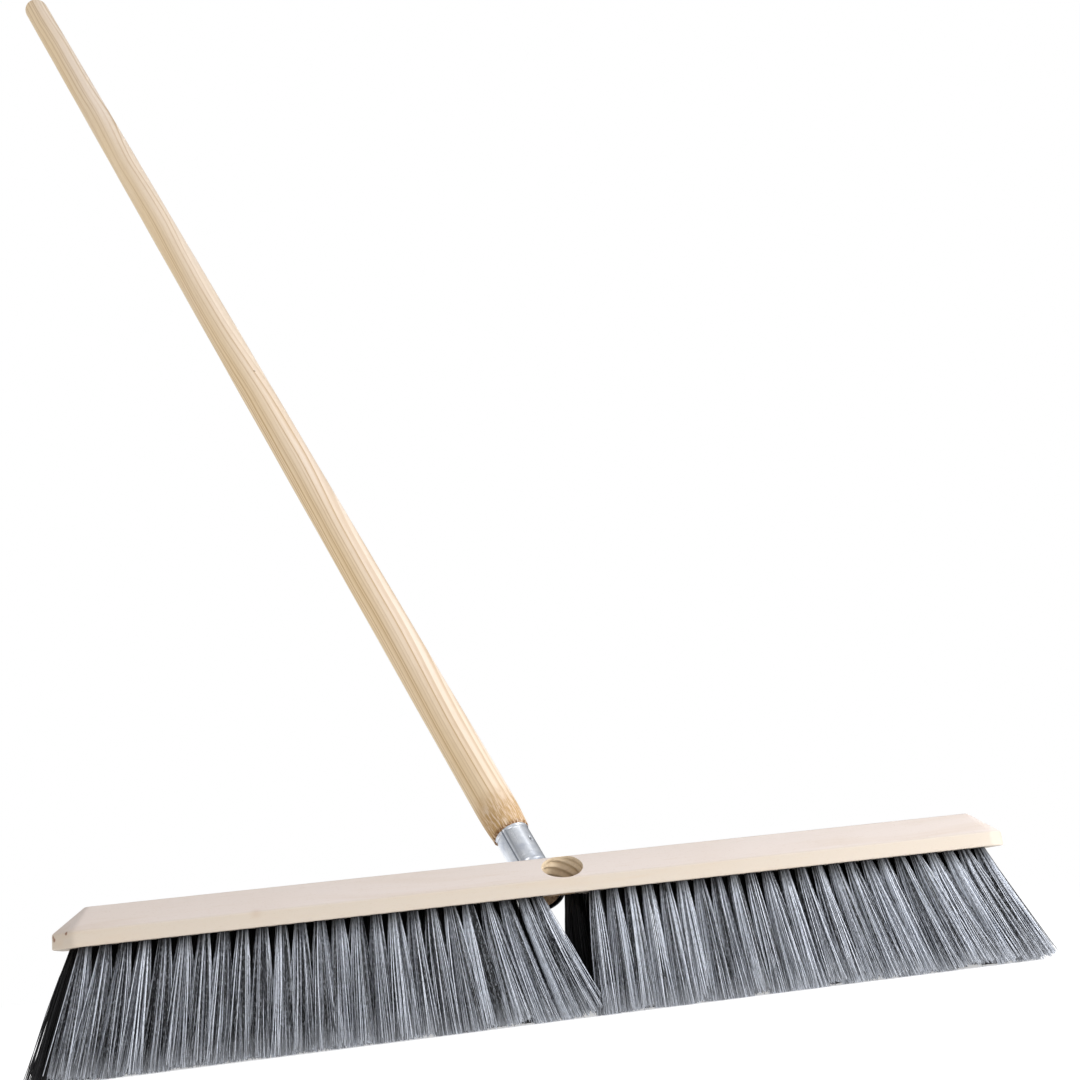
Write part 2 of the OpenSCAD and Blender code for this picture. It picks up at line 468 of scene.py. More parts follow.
@dataclass(frozen=True)
class ZincPlate:
    """Bright zinc plate on rolled steel, faintly clouded, with dark drag lines."""

    bright: tuple = (0.88, 0.91, 0.96)
    cloud: tuple = (0.64, 0.68, 0.76)
    drag: tuple = (0.20, 0.22, 0.27)
    # Near-black painted shade for the staked dimple and the inner edge of the ferrule's tip.
    recess_shade: tuple = (0.035, 0.03, 0.03)

    def make(self, name: str, shaft: "Shaft", seam_turn: float, dent: Vector) -> bpy.types.Material:
        """Returns the material.

        Args:
            name: The material's name.
            shaft: The handle's own frame.
            seam_turn: Turn of the rolled seam, in radians.
            dent: Middle of the staked dimple.
        """
        paint = Paint(name)
        s = paint.along(shaft.axis, shaft.tip)
        a = paint.along(shaft.side, shaft.tip)
        b = paint.along(shaft.front, shaft.tip)
        cloudy = paint.noise(paint.place, 130.0, 3.0, 0.6)
        fine = paint.noise(paint.place, 2400.0, 2.0, 0.6)
        drawn = paint.noise(paint.pack(s * 14.0, a * 520.0, b * 520.0), 1.0, 2.0, 0.5)
        around = b * math.cos(seam_turn) - a * math.sin(seam_turn)
        facing = (a * math.cos(seam_turn) + b * math.sin(seam_turn)).ramp(0.0, 4 * MM)
        line = around.ramp(-0.9 * MM, -0.2 * MM) * around.ramp(0.9 * MM, 0.2 * MM) * facing
        tone = paint.blend(cloudy.ramp(0.40, 0.72), self.bright, self.cloud)
        tone = paint.blend(drawn.ramp(0.56, 0.74) * 0.55, tone, self.drag)
        tone = paint.blend(line * 0.85, tone, self.drag)
        # The staked dimple is darkened inside: painted shade.
        away = paint.vector("DISTANCE", paint.place, dent, output="Value")
        tone = paint.blend(away.ramp(1.9 * MM, 0.7 * MM) * 0.8, tone, self.recess_shade)
        # The bore's inner edge at the tip is darkened: painted shade.
        inner = (a * a + b * b) ** 0.5
        tone = paint.blend(s.ramp(1.0 * MM, 0.2 * MM) * inner.ramp(10.9 * MM, 10.3 * MM), tone, self.recess_shade)
        return paint.finish(
            Base_Color=tone,
            Metallic=1.0,
            Roughness=0.20 + cloudy * 0.14 + fine * 0.05,
            Normal=paint.bump(cloudy * 0.6 + fine * 0.2 + drawn * 0.4, 0.06 * MM, 0.5),
        )


class Fibre(Enum):
    """The two kinds of filament in the broom."""

    GREY = "grey"
    BLACK = "black"


@dataclass(frozen=True)
class Filament:
    """Crimped plastic filament; UV U is its shade and V its place from root to tip."""

    dark: tuple
    middle: tuple
    light: tuple
    tip: tuple
    tip_share: float

    @classmethod
    def of(cls, fibre: Fibre) -> "Filament":
        """Returns the finish of one kind of filament.

        Args:
            fibre: The kind.
        """
        if fibre is Fibre.GREY:
            return cls((0.008, 0.009, 0.011), (0.205, 0.218, 0.252), (0.74, 0.78, 0.86),
                       (0.55, 0.57, 0.61), 0.45)
        return cls((0.004, 0.004, 0.005), (0.008, 0.008, 0.009), (0.022, 0.022, 0.025),
                   (0.022, 0.022, 0.024), 0.3)

    def make(self, name: str) -> bpy.types.Material:
        """Returns the material.

        Args:
            name: The material's name.
        """
        paint = Paint(name)
        strand = paint.add("ShaderNodeUVMap", {"uv_map": "strand"}, {})
        parts = paint.add("ShaderNodeSeparateXYZ", {}, {0: Signal(paint, strand.outputs[0])})
        shade, run = Signal(paint, parts.outputs[0]), Signal(paint, parts.outputs[1])
        stops = ((0.0, self.dark), (0.30, self.dark), (0.37, self.middle),
                 (0.50, self.middle), (0.58, self.light), (1.0, self.light))
        ramp = paint.add("ShaderNodeValToRGB", {"stops": stops}, {0: shade})
        # The crimp noise paints short light dashes as painted highlights and dark ones as painted shade;
        # it also varies roughness and bump.
        crimp_glint = paint.noise(paint.vector("MULTIPLY", paint.place, (1100.0, 1100.0, 420.0)), 1.0, 1.0, 0.5)
        tone = paint.blend(crimp_glint.ramp(0.52, 0.66) * 0.30, Signal(paint, ramp.outputs[0]), self.light)
        tone = paint.blend(crimp_glint.ramp(0.46, 0.34) * 0.38, tone, self.dark)
        tone = paint.blend(run.ramp(0.78, 1.0) * self.tip_share, tone, self.tip)
        # Darker towards the root: painted shade under the block.
        tone = paint.blend(run.ramp(0.22, 0.0) * 0.90, tone, self.dark)
        return paint.finish(
            Base_Color=tone,
            Roughness=0.36 + crimp_glint * 0.2,
            Normal=paint.bump(crimp_glint, 0.05 * MM, 0.5),
            Specular_IOR_Level=0.5,
        )


@dataclass(frozen=True)
class StapleWire:
    """Drawn steel wire with fine scratches."""

    steel: tuple = (0.58, 0.58, 0.57)
    dull: tuple = (0.34, 0.33, 0.32)

    def make(self, name: str) -> bpy.types.Material:
        """Returns the material.

        Args:
            name: The material's name.
        """
        paint = Paint(name)
        scratch = paint.noise(paint.vector("MULTIPLY", paint.place, (300.0, 4000.0, 4000.0)), 1.0, 2.0)
        tone = paint.blend(scratch.ramp(0.4, 0.7), self.steel, self.dull)
        return paint.finish(
            Base_Color=tone,
            Metallic=1.0,
            Roughness=0.3 + scratch * 0.25,
            Normal=paint.bump(scratch, 0.02 * MM, 0.5),
        )


# -------------------------------------------------------------------- geometry


def grid_quads(rows: int, columns: int, wrap: bool) -> np.ndarray:
    """Returns the quads of a grid of points stored row by row.

    Args:
        rows: Number of rows.
        columns: Number of points in a row.
        wrap: True if the last point of a row joins its first.
    """
    last = columns if wrap else columns - 1
    row, column = np.meshgrid(np.arange(rows - 1), np.arange(last), indexing="ij")
    right = (column + 1) % columns
    corners = (row * columns + column, row * columns + right,
               (row + 1) * columns + right, (row + 1) * columns + column)
    return np.stack(corners, axis=-1).reshape(-1, 4)


def lay_mesh(name: str, points: np.ndarray, faces: Sequence[np.ndarray],
             strand: Sequence[np.ndarray] = ()) -> bpy.types.Object:
    """Puts whole arrays into a new mesh object.

    Args:
        name: The object's name.
        points: Vertices in metres, shape (n, 3).
        faces: Arrays of faces, each of shape (count, corners).
        strand: For each array in faces, its UV pairs, shape (count, corners, 2).

    Returns:
        The object, linked to the scene.
    """
    mesh = bpy.data.meshes.new(name)
    loops = np.concatenate([f.ravel() for f in faces]).astype(np.int32)
    sizes = np.concatenate([np.full(len(f), f.shape[1]) for f in faces])
    starts = np.concatenate([[0], np.cumsum(sizes)[:-1]]).astype(np.int32)
    mesh.vertices.add(len(points))
    mesh.vertices.foreach_set("co", points.astype(np.float32).ravel())
    mesh.loops.add(len(loops))
    mesh.loops.foreach_set("vertex_index", loops)
    mesh.polygons.add(len(sizes))
    mesh.polygons.foreach_set("loop_start", starts)
    if strand:
        layer = mesh.uv_layers.new(name="strand")
        pairs = np.concatenate([u.reshape(-1, 2) for u in strand]).astype(np.float32)
        layer.data.foreach_set("uv", pairs.ravel())
    mesh.update(calc_edges=True)
    mesh.validate()
    mesh.polygons.foreach_set("use_smooth", np.ones(len(mesh.polygons), bool))
    piece = bpy.data.objects.new(name, mesh)
    bpy.context.scene.collection.objects.link(piece)
    return piece


def close_up(piece: bpy.types.Object, distance: float = 1e-6) -> None:
    """Merges doubled points, drops empty faces and turns all faces outwards.

    Args:
        piece: The piece.
        distance: Points nearer than this are merged, in metres.
    """
    shell = bmesh.new()
    shell.from_mesh(piece.data)
    bmesh.ops.remove_doubles(shell, verts=shell.verts, dist=distance)
    bmesh.ops.dissolve_degenerate(shell, edges=shell.edges, dist=distance)
    bmesh.ops.recalc_face_normals(shell, faces=shell.faces)
    shell.to_mesh(piece.data)
    shell.free()


def bake_modifiers(piece: bpy.types.Object) -> None:
    """Applies the modifiers of a piece to its mesh.

    Args:
        piece: The piece, which keeps its name.
    """
    graph = bpy.context.evaluated_depsgraph_get()
    done = bpy.data.meshes.new_from_object(piece.evaluated_get(graph))
    piece.modifiers.clear()
    piece.data = done


def crease(piece: bpy.types.Object, degrees: float) -> None:
    """Marks edges sharper than an angle as sharp, so that flat faces shade flat."""
    piece.data.set_sharp_from_angle(angle=math.radians(degrees))


def filleted(corners: Sequence[tuple], radii: Sequence[float], steps: int) -> np.ndarray:
    """Rounds the inner corners of an open outline with arcs.

    Each corner's arc touches both of its edges. Its points are the corner's two
    tangent points joined by a circle about the centre on the corner's bisector.

    Args:
        corners: The outline's points, in order.
        radii: One radius for each inner corner.
        steps: Points on each arc.

    Returns:
        The outline's points, shape (n, 2).
    """
    pts = [np.array(c, float) for c in corners]
    out = [pts[0][None]]
    for before, corner, after, radius in zip(pts, pts[1:], pts[2:], radii):
        back = (before - corner) / np.linalg.norm(before - corner)
        on = (after - corner) / np.linalg.norm(after - corner)
        half = math.acos(float(np.clip(back @ on, -1, 1))) / 2
        centre = corner + (back + on) / np.linalg.norm(back + on) * radius / math.sin(half)
        start = corner + back * radius / math.tan(half) - centre
        end = corner + on * radius / math.tan(half) - centre
        share = np.linspace(0, 1, steps)[:, None]
        swing = math.pi - 2 * half
        arc = (np.sin((1 - share) * swing) * start + np.sin(share * swing) * end) / math.sin(swing)
        out.append(centre + arc)
    out.append(pts[-1][None])
    return np.concatenate(out)


@dataclass(frozen=True)
class Shaft:
    """A frame on the handle's axis: s runs from the threaded tip to the dome."""

    tip: Vector
    axis: Vector

    @property
    def side(self) -> Vector:
        """Returns the level direction across the handle."""
        return Vector((0, 0, 1)).cross(self.axis).normalized()

    @property
    def front(self) -> Vector:
        """Returns the direction across the handle and square to side."""
        return self.axis.cross(self.side).normalized()

    def turned(self, radius: np.ndarray, turn: np.ndarray, s: np.ndarray) -> np.ndarray:
        """Returns points given in the shaft's round coordinates.

        Args:
            radius: Distances from the axis.
            turn: Turns about the axis, in radians from side towards front.
            s: Distances along the axis from the tip.
        """
        a, b, c = (np.array(v) for v in (self.side, self.front, self.axis))
        spoke = np.cos(turn)[..., None] * a + np.sin(turn)[..., None] * b
        return np.array(self.tip) + radius[..., None] * spoke + s[..., None] * c


# ---------------------------------------------------------------- the assembly


@dataclass
class Block:
    """The bevelled wooden block with its two threaded sockets."""

    bevel_run: float = 18.4 * MM
    side_height: float = 9.1 * MM
    corner_cut: float = 13.0 * MM
    corner_round: float = 8.0 * MM
    open_socket: tuple[float, float] = (11.5 * MM, 12.9 * MM)
    held_socket: tuple[float, float] = (12.1 * MM, 13.0 * MM)
    socket_rise: float = 1.9 * MM
    thread_start: float = 1.6 * MM
    thread_pitch: float = 5.0 * MM
    thread_lead_in: float = 2.5 * MM
    cutter_reach: float = 40.0 * MM
    scoop_turn: float = 156.0
    scoop_size: float = 2.6 * MM
    rim_ease: float = 0.15 * MM
    rim_depth: float = 1.6 * MM
    edge_radii: tuple = (1.0 * MM, 2.2 * MM, 2.4 * MM)
    sharp_from: float = 24.0
    arc_steps: int = 5
    run_steps: tuple = (2, 72, 2, 8)

    def outline(self, inset: np.ndarray, half_x: float, half_y: float) -> np.ndarray:
        """Plan outline of the block at a set of insets.

        The outline is eight straight sides: four walls and four corner cuts. For
        each inset the sides move inwards, the corners are rounded by arcs, and
        points are spread evenly along the straight stretches between the arcs.

        Args:
            inset: Insets from the outer outline, shape (n,).
            half_x: Half the block's length.
            half_y: Half the block's depth.

        Returns:
            Points, shape (n, m, 2).
        """
        round_r = self.corner_round * (1 - inset / half_y)
        a, b = half_x - inset, half_y - inset
        slant = (half_x + half_y - self.corner_cut) / math.sqrt(2) - inset
        slant = np.minimum(slant, (a + b) / math.sqrt(2))
        supports = [a, slant, b, slant, a, slant, b, slant]
        arcs = []
        for k in range(8):
            turn, step = k * math.pi / 4, math.pi / 4
            normal = np.array([math.cos(turn), math.sin(turn)])
            tangent = np.array([-normal[1], normal[0]])
            near, far = supports[k] - round_r, supports[(k + 1) % 8] - round_r
            slide = (far - near * math.cos(step)) / math.sin(step)
            corner = near[:, None] * normal + slide[:, None] * tangent
            sweep = turn + np.linspace(0, step, self.arc_steps)
            spoke = np.stack([np.cos(sweep), np.sin(sweep)], axis=-1)
            arcs.append(corner[:, None] + round_r[:, None, None] * spoke)
        runs = []
        for k, arc in enumerate(arcs):
            nxt = arcs[(k + 1) % 8][:, :1]
            share = np.linspace(0, 1, self.run_steps[k % 4] + 1)[1:-1, None]
            runs += [arc, arc[:, -1:] + (nxt - arc[:, -1:]) * share]
        return np.concatenate(runs, axis=1)

    def body(self, low: Vector, high: Vector) -> bpy.types.Object:
        """Builds the block without its sockets.

        A rounded section of inset and height is carried round the plan outline,
        and its two ends meet along the middle of the underside and of the top.

        Args:
            low: Lowest corner of the block's box.
            high: Highest corner of the block's box.

        Returns:
            The plain block.
        """
        half_x, half_y = (high.x - low.x) / 2, (high.y - low.y) / 2
        height = high.z - low.z
        section = filleted(
            [(half_y, 0), (0, 0), (0, self.side_height), (self.bevel_run, height), (half_y, height)],
            self.edge_radii, 6)
        plan = self.outline(section[:, 0], half_x, half_y)
        z = np.broadcast_to(low.z + section[:, 1][:, None, None], (*plan.shape[:2], 1))
        points = np.concatenate([plan, z], axis=-1)
        piece = lay_mesh("block_wood", points.reshape(-1, 3),
                         [grid_quads(points.shape[0], points.shape[1], wrap=True)])
        close_up(piece)
        return piece

    def cutter(self, mouth: Vector, axis: Vector, slope: Vector, face: float,
               radii: tuple[float, float]) -> bpy.types.Object:
        """Builds one socket's cutter, a rod with a coarse right-hand thread.

        The radius rises and falls once a pitch, at a height that climbs by one
        pitch in one turn: major - (major - minor) * crest(s / pitch - turn / full
        turn). The grooves start a little below the bevel, so that the mouth is a
        plain ellipse, and one side of the rim is scooped where the tap ran in.

        Args:
            mouth: A point on the socket's axis.
            axis: The socket's direction, outwards.
            slope: The bevel's outward normal.
            face: The bevel's distance from the origin along slope.
            radii: The thread's minor and major radius.

        Returns:
            The cutter.
        """
        minor, major = radii
        shaft = Shaft(mouth, axis)
        turn = np.linspace(0, TURN, 96, endpoint=False)
        s = np.linspace(-self.cutter_reach, self.cutter_reach, 260)
        grid_s, grid_t = np.meshgrid(s, turn, indexing="ij")
        wall = shaft.turned(np.full_like(grid_s, major), grid_t, grid_s)
        depth = face - wall @ np.array(slope)
        begun = np.clip((depth - self.thread_start) / self.thread_lead_in, 0, 1)
        phase = grid_s / self.thread_pitch - grid_t / TURN
        groove = (0.5 - 0.5 * np.cos(TURN * phase)) ** 0.8
        radius = minor + (major - minor) * groove * begun
        toward = np.clip(np.cos(grid_t - math.radians(self.scoop_turn)), 0, 1) ** 3
        worn = self.rim_ease + self.scoop_size * toward
        radius += np.exp(-np.maximum(depth, 0) / self.rim_depth) * worn
        radius[[0, -1]] = 0.0
        points = shaft.turned(radius, grid_t, grid_s)
        piece = lay_mesh("socket_cutter", points.reshape(-1, 3),
                         [grid_quads(len(s), len(turn), wrap=True)])
        close_up(piece)
        return piece

    def build(self) -> bpy.types.Object:
        """Builds and dresses the block, and cuts both sockets.

        Returns:
            The finished block.
        """
        low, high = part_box("block")
        piece = self.body(low, high)
        socket = mount("front_socket")
        axis, mouth = Vector(socket["axis"]), Vector(socket["pos_m"])
        half_turn = Matrix.Rotation(math.pi, 3, "Z")
        rise = high.z - low.z - self.side_height
        slope = Vector((0, -rise, self.bevel_run)).normalized()
        face = slope.dot(Vector((0, low.y, low.z + self.side_height)))
        piece.data.materials.append(BlockWood().make("block_wood", low.z))
        inside = SocketWood().make("socket_wood", low.z)
        uphill = Vector((0, self.bevel_run, rise)).normalized() * self.socket_rise
        pairs = ((mouth + uphill, axis, slope, self.open_socket),
                 (half_turn @ mouth, half_turn @ axis, half_turn @ slope, self.held_socket))
        for place, way, bevel, radii in pairs:
            tool = self.cutter(place, way, bevel, face, radii)
            tool.data.materials.append(inside)
            cut = piece.modifiers.new("socket", "BOOLEAN")
            cut.operation, cut.solver, cut.object = "DIFFERENCE", "EXACT", tool
            cut.material_mode = "TRANSFER"
            bake_modifiers(piece)
            bpy.data.objects.remove(tool)
        crease(piece, self.sharp_from)
        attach(piece, "head")
        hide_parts("block")
        return piece


@dataclass
class Stick:
    """The turned wooden stick: tenon, torn shoulder, round shaft and dome."""

    length: float = 1524.0 * MM
    radius: float = 14.3 * MM
    tenon_radius: float = 10.3 * MM
    core_radius: float = 7.2 * MM
    ferrule_length: float = 57.5 * MM
    shoulder_length: float = 28.0 * MM
    shoulder_radius: float = 12.9 * MM
    dome_height: float = 9.5 * MM
    tongue_turn: float = -40.0
    tongue_length: float = 3.0 * MM
    tongue_width: float = 0.17
    torn_reach: float = 2.2 * MM
    hewn_depth: float = 0.10 * MM
    sway_depth: float = 0.05 * MM
    sharp_from: float = 50.0
    around: int = 96
    seed: int = 7
    mark: tuple = (math.radians(78.0), 612.0 * MM)

    def profile(self) -> tuple[np.ndarray, np.ndarray]:
        """Returns radius and distance along the axis, from the tenon to the dome."""
        taper = np.linspace(0, 1, 14)
        shaft_start = self.ferrule_length + self.shoulder_length
        dome_start = self.length - self.dome_height
        arc = np.linspace(0, math.pi / 2, 12)
        ease = taper * (2 - taper)
        radius = np.concatenate([
            [0, self.tenon_radius * 0.4, self.core_radius, self.tenon_radius, self.tenon_radius],
            [self.shoulder_radius - 0.5 * MM],
            self.shoulder_radius + (self.radius - self.shoulder_radius) * ease,
            np.full(118, self.radius),
            self.radius * np.cos(arc) ** 0.9,
        ])
        s = np.concatenate([
            [0.6 * MM, 0.6 * MM, 0.9 * MM, 5.0 * MM, self.ferrule_length - 4 * MM],
            [self.ferrule_length + 0.15 * MM],
            self.ferrule_length + 0.6 * MM + taper * self.shoulder_length,
            np.linspace(shaft_start, dome_start, 120)[1:-1],
            dome_start + self.dome_height * np.sin(arc),
        ])
        return radius, s

    def build(self, shaft: Shaft) -> bpy.types.Object:
        """Builds and dresses the stick.

        The profile is turned about the axis. On the shoulder's first rings, s is
        moved by a few sines of the turn, so that its edge is ragged and one torn
        tongue hangs over the ferrule. Nine shallow hewn flats fade out along the
        shoulder, and the round shaft sways by a slow sine of s.

        Args:
            shaft: The handle's own frame.

        Returns:
            The finished stick.
        """
        radius, s = self.profile()
        turn = np.linspace(0, TURN, self.around, endpoint=False)
        grid_r, grid_t = np.meshgrid(radius, turn, indexing="ij")
        grid_s = np.repeat(s[:, None], len(turn), axis=1)
        dice = np.random.default_rng(self.seed)
        waves = zip((3, 7, 13, 23), (0.25, 0.3, 0.35, 0.3), dice.uniform(0, TURN, 4))
        ragged = sum(size * MM * np.sin(count * turn + phase) for count, size, phase in waves)
        away = np.angle(np.exp(1j * (turn - math.radians(self.tongue_turn))))
        tongue = -self.tongue_length * np.exp(-((away / self.tongue_width) ** 2))
        reach = np.exp(-np.maximum(grid_s - self.ferrule_length, 0) / self.torn_reach)
        on_wood = (grid_s > self.ferrule_length).astype(float)
        grid_s = grid_s + on_wood * reach * (np.minimum(ragged, 0.2 * MM) + tongue)
        hewn = self.hewn_depth * np.sin(9 * grid_t + 0.5 * np.sin(grid_s * 700)) * reach * on_wood
        sway = self.sway_depth * np.sin(grid_s * 46.0 + 2.0 * np.sin(grid_t))
        shaft_part = ((grid_s > self.ferrule_length) & (grid_r > 0)).astype(float)
        points = shaft.turned(grid_r + hewn + sway * shaft_part * (grid_r > 1 * MM), grid_t, grid_s)
        piece = lay_mesh("handle_wood", points.reshape(-1, 3),
                         [grid_quads(len(s), len(turn), wrap=True)])
        close_up(piece)
        crease(piece, self.sharp_from)
        shoulder = (self.ferrule_length, self.ferrule_length + self.shoulder_length)
        pine = HandlePine().make("handle_wood", shaft, shoulder, self.mark)
        piece.data.materials.append(pine)
        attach(piece, "handle")
        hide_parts("handle_stick")
        return piece


@dataclass
class Ferrule:
    """The zinc-plated ferrule: rolled thread, plain sleeve, seam and dimple."""

    length: float = 57.5 * MM
    sleeve_radius: float = 11.8 * MM
    root_radius: float = 10.95 * MM
    bore_radius: float = 10.4 * MM
    lip_radius: float = 9.3 * MM
    thread_end: float = 27.0 * MM
    pitch: float = 5.0 * MM
    rim_bead: float = 0.45 * MM
    rim_neck: float = 0.16 * MM
    runout_depth: float = 0.05 * MM
    seam_turn: float = 21.8
    seam_depth: float = 0.34 * MM
    seam_lip: float = 0.12 * MM
    dimple_turn: float = 101.0
    dimple_at: float = 43.3 * MM
    dimple_depth: float = 1.2 * MM
    sharp_from: float = 60.0

    def outer(self, turn: np.ndarray, s: np.ndarray) -> np.ndarray:
        """Outer radius of the ferrule.

        It is root + (sleeve - root) * ridge(s / pitch - turn / full turn) on the
        thread, which fades into the plain sleeve. A bell-shaped bead swells the
        rim above a narrow neck, a groove and a lip follow the seam, a shallow
        groove ends the thread, and a round dent marks the stake.

        Args:
            turn: Turn about the axis.
            s: Distance from the tip.

        Returns:
            Radii, of the shape of turn.
        """
        phase = (s - 1.0 * MM) / self.pitch - turn / TURN
        ridge = np.clip(0.62 - 1.25 * np.cos(TURN * phase), 0, 1)
        sleeve = 1 / (1 + np.exp(-(s - self.thread_end) / (0.5 * MM)))
        lead_in = np.clip(s / (2.0 * MM), 0, 1)
        share = np.maximum(ridge * lead_in, sleeve)
        radius = self.root_radius + (self.sleeve_radius - self.root_radius) * share
        past = s - self.thread_end - 3.5 * MM - self.pitch * 0.35 * np.sin(turn)
        runout = -self.runout_depth * np.exp(-((past / (0.5 * MM)) ** 2))
        bead = self.rim_bead * np.exp(-(((s - self.length + 0.9 * MM) / (0.7 * MM)) ** 2))
        neck = -self.rim_neck * np.exp(-(((s - self.length + 2.7 * MM) / (0.6 * MM)) ** 2))
        off_seam = np.angle(np.exp(1j * (turn - math.radians(self.seam_turn)))) * self.sleeve_radius
        seam = -self.seam_depth * np.exp(-((off_seam / (0.45 * MM)) ** 2)) \
            + self.seam_lip * np.exp(-(((off_seam - 1.1 * MM) / (0.6 * MM)) ** 2))
        off_dent = np.angle(np.exp(1j * (turn - math.radians(self.dimple_turn)))) * self.sleeve_radius
        dent = -self.dimple_depth * np.exp(-(off_dent ** 2 / (0.9 * MM) ** 2
                                             + (s - self.dimple_at) ** 2 / (1.7 * MM) ** 2))
        return radius + bead + neck + seam + dent + runout

    def build(self, shaft: Shaft) -> bpy.types.Object:
        """Builds and dresses the ferrule.

        The closed section runs up the outside, round the rim, and down the bore,
        and is turned about the axis.

        Args:
            shaft: The handle's own frame.

        Returns:
            The finished ferrule.
        """
        turn = np.linspace(0, TURN, 168, endpoint=False)
        up = np.linspace(0, self.length, 210)
        grid_s, grid_t = np.meshgrid(up, turn, indexing="ij")
        outside = shaft.turned(self.outer(grid_t, grid_s), grid_t, grid_s)
        down = np.array([self.length, self.length * 0.5, 1.2 * MM, 0.2 * MM])
        hole = np.array([self.bore_radius, self.bore_radius, self.bore_radius, self.lip_radius])
        bore_s, bore_t = np.meshgrid(down, turn, indexing="ij")
        inside = shaft.turned(np.repeat(hole[:, None], len(turn), axis=1), bore_t, bore_s)
        points = np.concatenate([outside, inside, outside[:1]])
        piece = lay_mesh("ferrule_shell", points.reshape(-1, 3),
                         [grid_quads(len(points), len(turn), wrap=True)])
        close_up(piece)
        crease(piece, self.sharp_from)
        dent_turn, dent_s = np.array(math.radians(self.dimple_turn)), np.array(self.dimple_at)
        dent = Vector(shaft.turned(np.array(self.sleeve_radius), dent_turn, dent_s))
        zinc = ZincPlate().make("zinc_plate", shaft, math.radians(self.seam_turn), dent)
        piece.data.materials.append(zinc)
        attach(piece, "handle")
        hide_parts("ferrule")
        return piece


class Side(Enum):
    """The two halves of each row of tufts."""

    LEFT = -1
    RIGHT = 1


